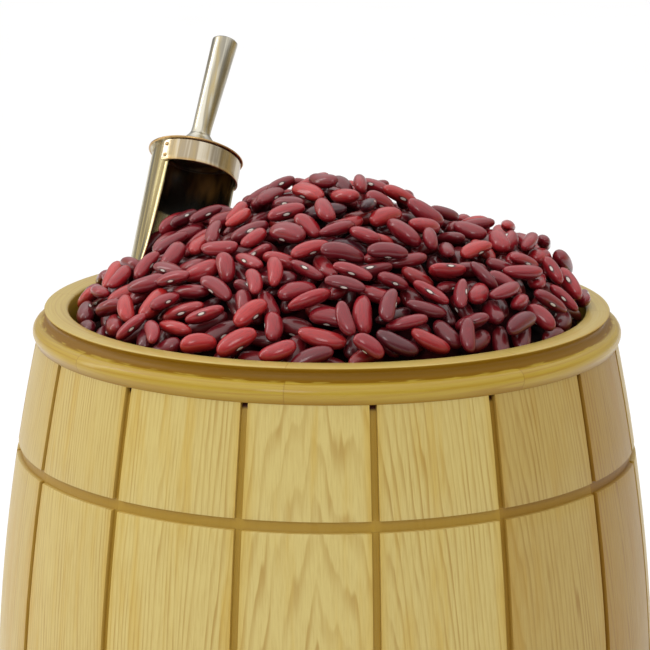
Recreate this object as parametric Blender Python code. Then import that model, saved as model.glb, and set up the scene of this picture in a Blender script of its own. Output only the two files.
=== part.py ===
"""A small pine barrel heaped with dried red kidney beans, and the steel scoop that stands in them.

Metres, +Z up. The origin is the centre of the barrel's base, and -Y is the front.
Angles round the barrel and round the scoop count from the front (-Y) towards +X.
"""

import math
import random

import bmesh
import bpy
from mathutils import Matrix, Vector
from mathutils.bvhtree import BVHTree

MM = 0.001
GAP = 0.3 * MM

# The barrel, from its base to the flat top of its rim.
BARREL_HEIGHT = 400 * MM
STAVE_COUNT = 16
STAVE_STEP = 2 * math.pi / STAVE_COUNT
FIRST_JOINT = 8.1
JOINT_DRIFT = (0.0, 0.1, 0.9, 0.4, 0, 0, 0, 0, 0, 0, 0, -0.3, -0.8, -1.0, -1.4, -0.2)
STAVE_THICKNESS = 12 * MM
BELLY_RADIUS = 144.4 * MM
SHOULDER_RADIUS = 123.6 * MM
EDGE_CHAMFER = 1.5 * MM
STAVE_FACETS = 3
STAVE_BENDS = (0.28, 0.5, 0.72)
GROOVE_FROM_END = 59 * MM
GROOVE_WIDTH = 4.6 * MM
GROOVE_DEPTH = 2.2 * MM

# The rim: a flat ring, a cove under its edge, and a half-round bead.
RIM_HEIGHT = 13.5 * MM
RIM_INNER_RADIUS = 109.9 * MM
RIM_FLAT_RADIUS = 120.2 * MM
RIM_COVE_RADIUS = 119.2 * MM
BEAD_RADIUS = 125 * MM
BEAD_TOP_DROP = 4.8 * MM
BEAD_FOOT_RADIUS = 123.4 * MM
BEAD_TURNS = (60, 25, -10, -45)
RIM_SEGMENTS = 48

BOARD_THICKNESS = 12 * MM

# The heap: its crown above the rim, its level at the wall, and how steeply it drops to the wall,
# less on the left than on the right.
CROWN_HEIGHT = 57 * MM
WALL_LEVEL = 1.5 * MM
CROWN_ROUNDING = 1.15
DROP_POWER = 0.78
DROP_LEAN = 0.17
CORE_DROP = 5 * MM
CORE_SEGMENTS = 36
CORE_RINGS = (1.0, 0.93, 0.82, 0.66, 0.5, 0.34, 0.17)

# The beans that show on top of the heap.
BEAN_COUNT = 158
EDGE_BEANS = 34
BEAN_LENGTH = 17.4 * MM
BEAN_WIDTH = 9 * MM
BEAN_THICKNESS = 7.4 * MM
BEAN_BEND = 0.13
BEAN_SINK = 2 * MM
BEAN_RINGS = (-0.74, 0.0, 0.74)
BEAN_SIDES = 5
BEAN_SPREAD = 0.45
GOLDEN_ANGLE = math.pi * (3 - math.sqrt(5))
SEED = 11

# The scoop, whose own frame has its flange's centre at the origin and its handle along +Z.
SCOOP_PLACE = Vector((-58.5 * MM, 52 * MM, BARREL_HEIGHT + 55.5 * MM))
SCOOP_LEAN_BACK = math.radians(30.6)
SCOOP_LEAN_RIGHT = math.radians(10.5)
TROUGH_RADIUS = 19.3 * MM
TROUGH_LENGTH = 76 * MM
TROUGH_STEPS = (0, 0.25, 0.5, 0.7, 0.84, 0.93, 0.98, 1.0)
TROUGH_COLUMNS = 14
SHEET = 1.2 * MM
MOUTH_FACES = math.radians(32.6)
MOUTH_HALF_ANGLE = math.radians(65)
MOUTH_WIDENS = math.radians(11)
LIP_SWEEP = math.radians(74)
LIP_POWER = 10
FLANGE_RADIUS = 21.3 * MM
DOME_HEIGHT = 9.3 * MM
DOME_TOP_RADIUS = 5 * MM
DOME_POWER = 2
HANDLE_END = 57.8 * MM
HANDLE_BASE_RADIUS = 4.2 * MM
HANDLE_END_RADIUS = 5.9 * MM
HANDLE_LEAN = math.radians(3.6)
STRAP_SHEET = 0.9 * MM
STRAP_HEIGHT = 9.5 * MM
STRAP_LAP = math.radians(14)
RIVET_RADIUS = 1.1 * MM
RIVET_RISE = 0.6 * MM


def clear_scene():
    for item in list(bpy.data.objects):
        bpy.data.objects.remove(item)


def material(name, colour, roughness, metallic=0.0):
    made = bpy.data.materials.new(name)
    made.use_nodes = True
    shader = made.node_tree.nodes["Principled BSDF"]
    shader.inputs["Base Color"].default_value = (*colour, 1)
    shader.inputs["Roughness"].default_value = roughness
    shader.inputs["Metallic"].default_value = metallic
    return made


def add_object(name, bm, finish, smooth_angle=35):
    """Closes a bmesh into a named object."""
    bmesh.ops.recalc_face_normals(bm, faces=bm.faces)
    mesh = bpy.data.meshes.new(name)
    bm.to_mesh(mesh)
    bm.free()
    mesh.materials.append(finish)
    mesh.shade_smooth()
    mesh.set_sharp_from_angle(angle=math.radians(smooth_angle))
    made = bpy.data.objects.new(name, mesh)
    bpy.context.scene.collection.objects.link(made)
    return made


def around(radius, angle, height):
    """A point at this radius, angle from the front and height."""
    return Vector((radius * math.sin(angle), -radius * math.cos(angle), height))


def turned(profile, segments):
    """A body turned about Z from (radius, height) points, and a ring if none is on the axis."""
    bm = bmesh.new()
    verts = [bm.verts.new((r, 0, z)) for r, z in profile]
    edges = [bm.edges.new(pair) for pair in zip(verts, verts[1:])]
    if profile[0][0] > 0:
        edges.append(bm.edges.new((verts[-1], verts[0])))
    bmesh.ops.spin(
        bm,
        geom=verts + edges,
        cent=(0, 0, 0),
        axis=(0, 0, 1),
        angle=2 * math.pi,
        steps=segments,
        use_merge=True,
    )
    bmesh.ops.remove_doubles(bm, verts=bm.verts, dist=1e-6)
    return bm


def lofted(sections):
    """A closed body through sections of equal point counts, with flat ends."""
    bm = bmesh.new()
    loops = [[bm.verts.new(point) for point in section] for section in sections]
    count = len(loops[0])
    for below, above in zip(loops, loops[1:]):
        for i in range(count):
            j = (i + 1) % count
            bm.faces.new((below[i], below[j], above[j], above[i]))
    bm.faces.new(reversed(loops[0]))
    bm.faces.new(loops[-1])
    return bm


def curved_sheet(rows):
    """A closed sheet from rows of (outer, inner) point pairs."""
    bm = bmesh.new()
    pairs = [[(bm.verts.new(out), bm.verts.new(inn)) for out, inn in row] for row in rows]
    last = len(pairs[0]) - 1
    for upper, lower in zip(pairs, pairs[1:]):
        for j in range(last):
            bm.faces.new((upper[j][0], lower[j][0], lower[j + 1][0], upper[j + 1][0]))
            bm.faces.new((upper[j][1], upper[j + 1][1], lower[j + 1][1], lower[j][1]))
        for j in (0, last):
            bm.faces.new((upper[j][0], upper[j][1], lower[j][1], lower[j][0]))
    for row in (pairs[0], pairs[-1]):
        for left, right in zip(row, row[1:]):
            bm.faces.new((left[0], right[0], right[1], left[1]))
    return bm


def boolean(target, operation, others, solver="EXACT"):
    """Joins or cuts a target with other objects, applies the result and removes them."""
    group = bpy.data.collections.new(target.name + "_" + operation.lower())
    bpy.context.scene.collection.children.link(group)
    for other in others:
        group.objects.link(other)
    step = target.modifiers.new(operation.lower(), "BOOLEAN")
    step.operation = operation
    step.operand_type = "COLLECTION"
    step.collection = group
    step.solver = solver
    graph = bpy.context.evaluated_depsgraph_get()
    result = bpy.data.meshes.new_from_object(target.evaluated_get(graph))
    target.modifiers.remove(step)
    target.data = result
    for other in others:
        bpy.data.objects.remove(other)
    bpy.data.collections.remove(group)


def barrel_radius(height):
    """The outer radius of the bowed staves, widest half way up."""
    middle = BARREL_HEIGHT / 2
    reach = middle - RIM_HEIGHT
    share = (height - middle) / reach
    return BELLY_RADIUS - (BELLY_RADIUS - SHOULDER_RADIUS) * share**2


def joint_angle(number):
    """Where the joint before this stave lies: the staves differ a little in width."""
    drift = JOINT_DRIFT[number % STAVE_COUNT]
    return number * STAVE_STEP + math.radians(FIRST_JOINT + drift)


def inner_radius(height):
    """The radius of the largest circle that fits inside the staves at this height."""
    widest = max(joint_angle(i + 1) - joint_angle(i) for i in range(STAVE_COUNT))
    return (barrel_radius(height) - STAVE_THICKNESS) * math.cos(widest / 2)


def stave_section(middle_angle, half, height, groove):
    """One level of a stave: an arc outside with chamfered edges, and a flat inside."""
    radius = barrel_radius(height)
    face_half = half - (EDGE_CHAMFER + GAP / 2) / radius
    side_radius = radius - max(EDGE_CHAMFER, groove + GAP)
    back_radius = radius - STAVE_THICKNESS
    points = []
    for i in range(STAVE_FACETS + 1):
        turn = face_half * (2 * i / STAVE_FACETS - 1)
        points.append(around(radius - groove, middle_angle + turn, height))
    for level, sign in ((side_radius, 1), (back_radius, 1), (back_radius, -1), (side_radius, -1)):
        turn = sign * (half - GAP / 2 / level)
        points.append(around(level, middle_angle + turn, height))
    return points


def make_staves(finish):
    top = BARREL_HEIGHT - RIM_HEIGHT - GAP
    levels = [(0, 0)]
    for groove_at in (GROOVE_FROM_END, BARREL_HEIGHT - GROOVE_FROM_END):
        levels += [
            (groove_at - GROOVE_WIDTH / 2, 0),
            (groove_at, GROOVE_DEPTH),
            (groove_at + GROOVE_WIDTH / 2, 0),
        ]
    levels += [(BARREL_HEIGHT * share, 0) for share in STAVE_BENDS]
    levels += [(top, 0)]
    levels.sort()
    for number in range(STAVE_COUNT):
        first, last = joint_angle(number), joint_angle(number + 1)
        middle_angle, half = (first + last) / 2, (last - first) / 2
        sections = [stave_section(middle_angle, half, *level) for level in levels]
        add_object(f"stave_{number + 1:02d}", lofted(sections), finish)


def make_rim(finish):
    top = BARREL_HEIGHT
    foot = top - RIM_HEIGHT
    bead_middle = (top - BEAD_TOP_DROP + foot) / 2
    bead_half = (top - BEAD_TOP_DROP - foot) / 2
    round_edge = 0.8 * MM
    profile = [
        (RIM_INNER_RADIUS, foot),
        (RIM_INNER_RADIUS, top - round_edge),
        (RIM_INNER_RADIUS + round_edge, top),
        (RIM_FLAT_RADIUS - round_edge, top),
        (RIM_FLAT_RADIUS, top - round_edge),
        (RIM_COVE_RADIUS, top - 0.6 * BEAD_TOP_DROP),
        (RIM_FLAT_RADIUS, top - BEAD_TOP_DROP),
    ]
    for degrees in BEAD_TURNS:
        angle = math.radians(degrees)
        reach = BEAD_RADIUS - RIM_FLAT_RADIUS
        profile.append(
            (RIM_FLAT_RADIUS + reach * math.cos(angle), bead_middle + bead_half * math.sin(angle))
        )
    profile.append((BEAD_FOOT_RADIUS, foot))
    add_object("rim", turned(profile, RIM_SEGMENTS), finish)


def make_bottom_board(finish):
    radius = inner_radius(0) - GAP
    profile = [(0, 0), (radius, 0), (radius, BOARD_THICKNESS), (0, BOARD_THICKNESS)]
    add_object("bottom_board", turned(profile, RIM_SEGMENTS // 2), finish)


def heap_level(x, y):
    """The height of the bean heap's outside, a rounded cone that stands fuller on the right."""
    radius = math.hypot(x, y)
    share = min(radius / RIM_INNER_RADIUS, 1)
    power = DROP_POWER - DROP_LEAN * x / max(radius, MM)
    drop = (1 - share**CROWN_ROUNDING) ** power
    return BARREL_HEIGHT + WALL_LEVEL + (CROWN_HEIGHT - WALL_LEVEL) * drop


def heap_normal(x, y):
    step = MM
    rise_x = heap_level(x + step, y) - heap_level(x - step, y)
    rise_y = heap_level(x, y + step) - heap_level(x, y - step)
    return Vector((-rise_x, -rise_y, 2 * step)).normalized()


def make_core(finish):
    """What the beans fill below those that show, from the bottom board up to the heap."""
    floor = BOARD_THICKNESS + GAP
    seat = BARREL_HEIGHT - RIM_HEIGHT
    levels = [floor, 0.25 * BARREL_HEIGHT, 0.5 * BARREL_HEIGHT, 0.75 * BARREL_HEIGHT, seat]
    side = [(inner_radius(z) - GAP, z) for z in levels]
    reach = RIM_INNER_RADIUS - 2 * GAP
    above = BARREL_HEIGHT + CROWN_HEIGHT
    profile = [(0, floor), *side]
    profile += [(min(reach, side[-1][0]) * share, above) for share in CORE_RINGS]
    profile.append((0, above))
    bm = turned(profile, CORE_SEGMENTS)
    for vert in bm.verts:
        if vert.co.z > BARREL_HEIGHT:
            vert.co.z = heap_level(vert.co.x, vert.co.y) - CORE_DROP
    return add_object("beans", bm, finish)


def bean_points(length, width, thickness):
    """The rings of one kidney bean lying along X, bent towards -Y, between two end points."""
    rings = []
    for along in BEAN_RINGS:
        swell = (1 - abs(along) ** 2.6) ** 0.5
        x = along * length / 2
        y = BEAN_BEND * width * (1 - 2 * along**2)
        ring = []
        for i in range(BEAN_SIDES):
            turn = 2 * math.pi * i / BEAN_SIDES
            side = math.cos(turn) * swell * width / 2
            ring.append(Vector((x, y + side, math.sin(turn) * swell * thickness / 2)))
        rings.append(ring)
    tip_y = -BEAN_BEND * width
    return Vector((-length / 2, tip_y, 0)), rings, Vector((length / 2, tip_y, 0))


def bean_mesh(size, placing):
    first, rings, last = bean_points(*size)
    bm = bmesh.new()
    loops = [[bm.verts.new(placing @ point) for point in ring] for ring in rings]
    ends = [bm.verts.new(placing @ point) for point in (first, last)]
    for left, right in zip(loops, loops[1:]):
        for i in range(BEAN_SIDES):
            j = (i + 1) % BEAN_SIDES
            bm.faces.new((left[i], left[j], right[j], right[i]))
    for end, loop in zip(ends, (loops[0], loops[-1])):
        for i in range(BEAN_SIDES):
            bm.faces.new((end, loop[i], loop[(i + 1) % BEAN_SIDES]))
    return bm


def bean_placing(draw, number):
    """Where a bean lies: evenly spread on the core, flat on its slope, and turned at random."""
    if number < BEAN_COUNT:
        reach = RIM_INNER_RADIUS - 0.6 * BEAN_LENGTH
        radius = reach * ((number + 0.5) / BEAN_COUNT) ** BEAN_SPREAD
        spot = around(radius, number * GOLDEN_ANGLE, 0)
    else:
        radius = RIM_INNER_RADIUS - 0.4 * BEAN_LENGTH
        spot = around(radius, (number - BEAN_COUNT) * 2 * math.pi / EDGE_BEANS, 0)
    normal = heap_normal(spot.x, spot.y)
    spot.z = heap_level(spot.x, spot.y) - CORE_DROP
    lift = BEAN_THICKNESS / 2 - BEAN_SINK
    tangent = normal.orthogonal().normalized()
    lying = Matrix((tangent, normal.cross(tangent), normal)).transposed().to_4x4()
    turn = Matrix.Rotation(draw.uniform(0, 2 * math.pi), 4, "Z")
    nose = Matrix.Rotation(draw.gauss(0, 0.18), 4, "Y")
    roll = Matrix.Rotation(draw.gauss(0, 0.5), 4, "X")
    return Matrix.Translation(spot + normal * lift) @ lying @ turn @ nose @ roll


def make_beans(core, finish, keep_clear):
    """The beans that show, fused to the core, clear of the rim's wall and of the scoop."""
    draw = random.Random(SEED)
    limit = RIM_INNER_RADIUS - 2 * GAP
    made = []
    for number in range(BEAN_COUNT + EDGE_BEANS):
        scale = draw.uniform(0.88, 1.1)
        size = (BEAN_LENGTH * scale, BEAN_WIDTH * scale, BEAN_THICKNESS * scale)
        placing = bean_placing(draw, number)
        bm = bean_mesh(size, placing)
        beyond = max(math.hypot(vert.co.x, vert.co.y) for vert in bm.verts) - limit
        if beyond > 0:
            inwards = -Vector((placing.translation.x, placing.translation.y, 0)).normalized()
            bmesh.ops.translate(bm, verts=bm.verts, vec=inwards * beyond * 1.02)
        tree = BVHTree.FromBMesh(bm)
        if any(tree.overlap(other) for other in keep_clear):
            bm.free()
            continue
        made.append(add_object(f"bean_{number}", bm, finish))
    boolean(core, "UNION", made, "MANIFOLD")


def mouth_half_angle(share):
    """How far the trough's cut edges lie from the mouth's middle, this far down to the lip."""
    return MOUTH_HALF_ANGLE + MOUTH_WIDENS * share + LIP_SWEEP * share**LIP_POWER


def trough_mesh(margin):
    """The scoop's rolled sheet, open at the front and cut away to a rounded lip, with a margin."""
    columns = TROUGH_COLUMNS
    outer = TROUGH_RADIUS + margin
    inner = TROUGH_RADIUS - SHEET - margin
    top = SHEET / 2
    length = TROUGH_LENGTH + margin
    rows = []
    for share in TROUGH_STEPS:
        cut = mouth_half_angle(share) - margin / TROUGH_RADIUS
        height = -top - (length - top) * share
        row = []
        for j in range(columns + 1):
            angle = MOUTH_FACES + cut + (2 * math.pi - 2 * cut) * j / columns
            row.append((around(outer, angle, height), around(inner, angle, height)))
        rows.append(row)
    return curved_sheet(rows)


def back_plate_profile():
    """The scoop's back: a flange round a dome that rises to the handle, all one sheet thick."""
    upper = [(0, DOME_HEIGHT), (DOME_TOP_RADIUS, DOME_HEIGHT)]
    run = TROUGH_RADIUS - DOME_TOP_RADIUS
    for share in (0.2, 0.45, 0.72):
        upper.append((DOME_TOP_RADIUS + run * share, DOME_HEIGHT * (1 - share) ** DOME_POWER))
    upper.append((TROUGH_RADIUS, 0))
    under = [(r, z - SHEET) for r, z in upper]
    flange = [(FLANGE_RADIUS - SHEET / 3, 0), (FLANGE_RADIUS, -SHEET / 2), (FLANGE_RADIUS - SHEET / 3, -SHEET)]
    return upper + flange + under[::-1]


def make_strap(finish):
    """The strip that closes the ring across the scoop's mouth, with two rivets at each end."""
    columns = 12
    inner = TROUGH_RADIUS + GAP
    outer = inner + STRAP_SHEET
    top = -SHEET - GAP
    half = MOUTH_HALF_ANGLE + STRAP_LAP
    rows = []
    for height in (top, top - STRAP_HEIGHT):
        angles = [MOUTH_FACES - half + 2 * half * j / columns for j in range(columns + 1)]
        rows.append([(around(outer, a, height), around(inner, a, height)) for a in angles])
    strap = add_object("scoop_strap", curved_sheet(rows), finish)
    heads = []
    for side in (-1, 1):
        for share in (0.27, 0.75):
            angle = MOUTH_FACES + side * (half - STRAP_LAP * 0.45)
            bm = bmesh.new()
            bmesh.ops.create_cone(
                bm,
                cap_ends=True,
                segments=8,
                radius1=RIVET_RADIUS,
                radius2=RIVET_RADIUS * 0.5,
                depth=RIVET_RISE + STRAP_SHEET / 2,
            )
            middle = around(outer + RIVET_RISE / 2 - STRAP_SHEET / 4, angle, top - STRAP_HEIGHT * share)
            outwards = around(1, angle, 0).to_track_quat("Z", "Y").to_matrix().to_4x4()
            bmesh.ops.transform(bm, matrix=Matrix.Translation(middle) @ outwards, verts=bm.verts)
            heads.append(add_object(f"rivet_{side}_{share}", bm, finish))
    boolean(strap, "UNION", heads)
    return strap


def make_handle(finish):
    foot = DOME_HEIGHT + GAP
    edge = 1 * MM
    profile = [
        (0, foot),
        (DOME_TOP_RADIUS - 0.4 * MM, foot),
        (HANDLE_BASE_RADIUS, foot + 2 * MM),
        (HANDLE_END_RADIUS, HANDLE_END - edge),
        (HANDLE_END_RADIUS - edge, HANDLE_END),
        (0, HANDLE_END),
    ]
    bm = turned(profile, 16)
    base = Matrix.Translation((0, 0, foot))
    lean = base @ Matrix.Rotation(HANDLE_LEAN, 4, "Y") @ base.inverted()
    bmesh.ops.transform(bm, matrix=lean, verts=bm.verts)
    return add_object("scoop_handle", bm, finish)


def make_scoop(finish):
    """Builds the scoop in its own frame and stands it in the beans."""
    stand = bpy.data.objects.new("scoop_stand", None)
    bpy.context.scene.collection.objects.link(stand)
    stand.location = SCOOP_PLACE
    stand.rotation_euler = (-SCOOP_LEAN_BACK, SCOOP_LEAN_RIGHT, 0)
    bowl = add_object("scoop_bowl", turned(back_plate_profile(), 24), finish)
    trough = add_object("trough", trough_mesh(0), finish)
    boolean(bowl, "UNION", [trough])
    for piece in (bowl, make_strap(finish), make_handle(finish)):
        piece.parent = stand
    return stand


def scoop_pocket(stand, finish):
    """The room that the trough takes up in the beans, a little larger than its sheet."""
    pocket = add_object("pocket", trough_mesh(2 * GAP), finish)
    pocket.data.transform(stand.matrix_world)
    return pocket


def main():
    clear_scene()
    pine = material("pine", (0.62, 0.45, 0.2), 0.45)
    rim_pine = material("rim_pine", (0.55, 0.35, 0.1), 0.35)
    bean_skin = material("bean_skin", (0.22, 0.02, 0.025), 0.3)
    steel = material("steel", (0.62, 0.57, 0.45), 0.2, metallic=1.0)
    make_staves(pine)
    make_rim(rim_pine)
    make_bottom_board(pine)
    stand = make_scoop(steel)
    bpy.context.view_layer.update()
    pocket = scoop_pocket(stand, steel)
    clear_of_scoop = BVHTree.FromPolygons(
        [vert.co.copy() for vert in pocket.data.vertices],
        [tuple(face.vertices) for face in pocket.data.polygons],
    )
    core = make_core(bean_skin)
    boolean(core, "DIFFERENCE", [pocket])
    make_beans(core, bean_skin, [clear_of_scoop])


main()
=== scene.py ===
"""The looks of a small pine display barrel, heaped with dried red kidney beans round a steel scoop."""

import math
import random
from collections import namedtuple

import bmesh
import bpy
import numpy as np
from mathutils import Matrix, Vector
from mathutils.bvhtree import BVHTree


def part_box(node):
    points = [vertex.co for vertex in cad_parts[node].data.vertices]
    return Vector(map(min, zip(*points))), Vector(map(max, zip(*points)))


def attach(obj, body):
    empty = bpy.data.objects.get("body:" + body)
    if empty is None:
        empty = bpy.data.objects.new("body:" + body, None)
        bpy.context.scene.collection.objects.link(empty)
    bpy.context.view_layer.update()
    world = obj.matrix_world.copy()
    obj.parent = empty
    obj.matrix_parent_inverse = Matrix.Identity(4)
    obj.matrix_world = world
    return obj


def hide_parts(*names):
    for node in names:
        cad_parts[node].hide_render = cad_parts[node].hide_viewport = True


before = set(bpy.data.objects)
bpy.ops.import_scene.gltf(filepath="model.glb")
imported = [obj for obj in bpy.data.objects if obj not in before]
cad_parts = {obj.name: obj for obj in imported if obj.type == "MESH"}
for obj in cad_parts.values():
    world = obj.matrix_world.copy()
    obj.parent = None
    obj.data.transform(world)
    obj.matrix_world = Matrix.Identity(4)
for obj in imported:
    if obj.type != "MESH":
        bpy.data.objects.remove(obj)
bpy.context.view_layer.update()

# Staves
# Sixteen bowed pine planks stand edge to edge round the bottom board, varnished to a satin finish.
# A shallow channel is routed along every joint, and round the barrel near its top and its foot.

MM = 0.001
BARREL_HEIGHT = 400 * MM
JOINT_GAP = 0.03 * MM
STAVE_COUNT = 16
STAVE_STEP = 2 * math.pi / STAVE_COUNT
# In degrees, where the first joint is, and how far each joint is off its even place.
FIRST_JOINT = 8.1
JOINT_DRIFT = (0, 0.1, 0.9, 0.4, 0, 0, 0, 0, 0, 0, 0, -0.3, -0.8, -1.0, -1.4, -0.2)
STAVE_THICKNESS = 12 * MM
STAVE_TOP = BARREL_HEIGHT - 13.55 * MM
BELLY_RADIUS = 144.4 * MM
SHOULDER_RADIUS = 123.6 * MM
RIM_HEIGHT = 13.5 * MM
CHANNEL_DEPTH = 1.9 * MM
CHANNEL_HALF_WIDTH = 1.7 * MM
CHANNEL_WALL = 0.2 * MM
BAND_FROM_END = 59 * MM
BAND_HALF_HEIGHT = 2.3 * MM
STAVE_EDGE = 0.35 * MM
FACE_STEPS = 36
# Each channel ends in a deeper pit under the rim.
PIT_HEIGHT = 3.4 * MM
PIT_DEPTH = 1.6 * MM
AT_TOP = STAVE_TOP - 0.1 * MM
POOL_WIDTH = 4.5 * MM
GRAIN_SLANT = 0.02
PITH_SLANT = 0.06
GRAIN_SEED = 5
# Each plank's tone, from 0 for the palest, and how many metres aside the heart of its tree was.
# The darker tones towards the sides seen from the front, most of all planks 2 and 3, partly stand for the
# light falling off there: painted shade.
PLANKS = (
    (0.09, 0.040), (0.46, 0.056), (0.75, 0.071), (0.30, -0.010),
    (0.12, 0.033), (0.22, -0.062), (0.05, 0.014), (0.30, 0.050),
    (0.16, -0.044), (0.08, 0.004), (0.26, 0.066), (0.20, -0.029),
    (0.30, -0.067), (0.18, 0.061), (0.06, -0.056), (0.03, -0.014),
)


class Tone:
    """A value on its way through a finish's nodes, which takes Python's own sums."""

    def __init__(self, tree, socket=None):
        self.tree = tree
        self.socket = socket

    def node(self, kind, settings=None, inputs=None, output=0):
        """Adds a node, sets it, then fills its inputs, and returns one of its outputs."""
        made = self.tree.nodes.new("ShaderNode" + kind)
        for name, value in (settings or {}).items():
            if name == "stops":
                for stop, (place, paint) in zip(self.ramp_stops(made, len(value)), value):
                    stop.position = place
                    stop.color = paint
            else:
                setattr(made, name, value)
        for name, value in (inputs or {}).items():
            if isinstance(value, Tone):
                self.tree.links.new(value.socket, made.inputs[name])
            else:
                made.inputs[name].default_value = value
        return Tone(self.tree, made.outputs[output])

    def ramp_stops(self, ramp, count):
        while len(ramp.color_ramp.elements) < count:
            ramp.color_ramp.elements.new(1)
        return ramp.color_ramp.elements

    def sum(self, operation, *values):
        return self.node("Math", {"operation": operation}, dict(enumerate(values)))

    def __add__(self, other):
        return self.sum("ADD", self, other)

    def __radd__(self, other):
        return self.sum("ADD", other, self)

    def __sub__(self, other):
        return self.sum("SUBTRACT", self, other)

    def __rsub__(self, other):
        return self.sum("SUBTRACT", other, self)

    def __mul__(self, other):
        return self.sum("MULTIPLY", self, other)

    def __rmul__(self, other):
        return self.sum("MULTIPLY", other, self)

    def __truediv__(self, other):
        return self.sum("DIVIDE", self, other)

    def __pow__(self, other):
        return self.sum("POWER", self, other)

    def between(self, low, high):
        """0 below low, 1 above high, and a smooth step from one to the other."""
        settings = {"interpolation_type": "SMOOTHSTEP"}
        return self.node("MapRange", settings, {0: self, 1: low, 2: high, 3: 0.0, 4: 1.0})

    def blend(self, one, other):
        """The first colour where this mask is 0 and the second where it is 1."""
        return self.node("Mix", {"data_type": "RGBA"}, {0: self, 6: one, 7: other}, 2)

    def stretched(self, x, y, z):
        return self.node("VectorMath", {"operation": "MULTIPLY"}, {0: self, 1: (x, y, z)})

    def noise(self, scale, detail=2.0, roughness=0.5):
        inputs = {"Vector": self, "Scale": scale, "Detail": detail, "Roughness": roughness}
        return self.node("TexNoise", {}, inputs)

    def axis(self, name):
        return self.node("SeparateXYZ", {}, {0: self}, name)

    def stored(self, name, output="Fac"):
        """A value that mark() has stored on the mesh."""
        return self.node("Attribute", {"attribute_name": name}, output=output)


def colour(red, green, blue):
    """A colour as a paint chart gives it, turned into the light it reflects."""
    share = [value / 255 for value in (red, green, blue)]
    return (*[s / 12.92 if s <= 0.04045 else ((s + 0.055) / 1.055) ** 2.4 for s in share], 1.0)


def new_finish(name):
    """An empty finish, with the start of its nodes and its surface shader."""
    finish = bpy.data.materials.new(name)
    finish.use_nodes = True
    shader = finish.node_tree.nodes["Principled BSDF"]
    return finish, Tone(finish.node_tree), shader


def set_surface(tones, shader, links=None, **fixed):
    for name, value in (links or {}).items():
        tones.tree.links.new(value.socket, shader.inputs[name])
    for name, value in fixed.items():
        shader.inputs[name.replace("_", " ")].default_value = value


def varnished_pine(name, pale, late, honey, groove, deep, gloss):
    """Pine seen through varnish: growth rings cut at a slant, fine fibres, and honey-coloured streaks."""
    ring_width = 1.8 * MM
    ring_wander = 9 * MM
    pit_shade = colour(64, 20, 8)
    glint_pale = colour(226, 210, 156)
    finish, tones, shader = new_finish(name)
    plank = tones.stored("plank", "Vector")
    recess = tones.stored("recess")
    drift = plank.stretched(1, 1, 0.12).noise(24, 2)
    wander = (drift - 0.5) * ring_wander
    across = plank.axis("X") + wander
    inwards = plank.axis("Y")
    from_pith = (across * across + inwards * inwards) ** 0.5
    uneven = plank.stretched(1, 1, 0.04).noise(130, 2)
    ring = tones.sum("FRACT", from_pith / ring_width + uneven * 2.6)
    late_line = ring.between(0.4, 0.86) * (1 - ring.between(0.86, 1.0))
    fibre = plank.stretched(1, 1, 0.022).noise(1500, 3, 0.6)
    patch = plank.stretched(1, 1, 0.08).noise(125, 3, 0.6)
    strength = plank.stretched(1, 1, 0.12).noise(130, 3).between(0.3, 0.75) * 0.62 + 0.12
    wood = (late_line * strength).blend(pale, late)
    wood = (patch.between(0.48, 0.74) * 0.55).blend(wood, honey)
    pooled = tones.stored("pooled")
    wood = (pooled * pooled * 0.6).blend(wood, honey)
    wood = (fibre.between(0.35, 0.8) * 0.3).blend(wood, late)
    # Recessed places take the darker groove colour, partly dirt and varnish lying in them, partly painted
    # shade. Recess over 1 marks the pits under the rim, which take pit_shade as painted deep shade.
    wood = (recess.between(0, 1) * 0.93).blend(wood, groove)
    wood = recess.between(1.1, 1.5).blend(wood, pit_shade)
    # Painted highlight: pale flecks along the bead's top and the flat's outer edge, where the glossy varnish
    # would glint.
    worn = tones.stored("worn")
    fleck = plank.stretched(1, 1, 0.2).noise(420, 2)
    wood = (worn.between(0.7, 1.0) * fleck.between(0.5, 0.62) * 0.6).blend(wood, glint_pale)
    glue = tones.stored("glue_line")
    wood = (glue.between(0.93, 0.97) * 0.45).blend(wood, groove)
    darkened = {"data_type": "RGBA", "blend_type": "MULTIPLY"}
    # Each plank is darkened towards deep by its tone, which on the staves is partly painted shade.
    wood = tones.node("Mix", darkened, {0: tones.stored("plank_tone"), 6: wood, 7: deep}, 2)
    height = late_line * 0.15 + fibre * 0.8
    bump = tones.node("Bump", {}, {"Strength": 0.35, "Distance": 0.12 * MM, "Height": height})
    rough = 0.36 + fibre * 0.16 - late_line * 0.05
    links = {"Base Color": wood, "Roughness": rough, "Normal": bump}
    links["Coat Weight"] = (1 - recess.between(0, 1)) * gloss
    set_surface(tones, shader, links, Coat_Roughness=0.16, Specular_IOR_Level=0.22)
    return finish


def around(radius, angle, height):
    """A point at this radius, angle from the front towards the right, and height."""
    return Vector((radius * math.sin(angle), -radius * math.cos(angle), height))


def spin_about_z(bm, geom, angle, steps):
    """Turns geometry on by an angle, drawing a surface after it, and returns its last copy."""
    turned = bmesh.ops.spin(
        bm, geom=geom, cent=(0, 0, 0), axis=(0, 0, 1), angle=angle, steps=steps, use_merge=False
    )
    return turned["geom_last"]


def finished(name, bm, finish, node=None, slot=None, smooth_angle=40):
    """Makes a piece of a mesh, at the origin, hangs it under the root when it has a slot, and hides the CAD
    node it stands for.
    """
    mesh = bpy.data.meshes.new(name)
    bm.to_mesh(mesh)
    bm.free()
    mesh.materials.append(finish)
    mesh.shade_smooth()
    mesh.set_sharp_from_angle(angle=math.radians(smooth_angle))
    piece = bpy.data.objects.new(name, mesh)
    bpy.context.scene.collection.objects.link(piece)
    if slot:
        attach(piece, "root")
    if node:
        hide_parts(node)
    return piece


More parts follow.
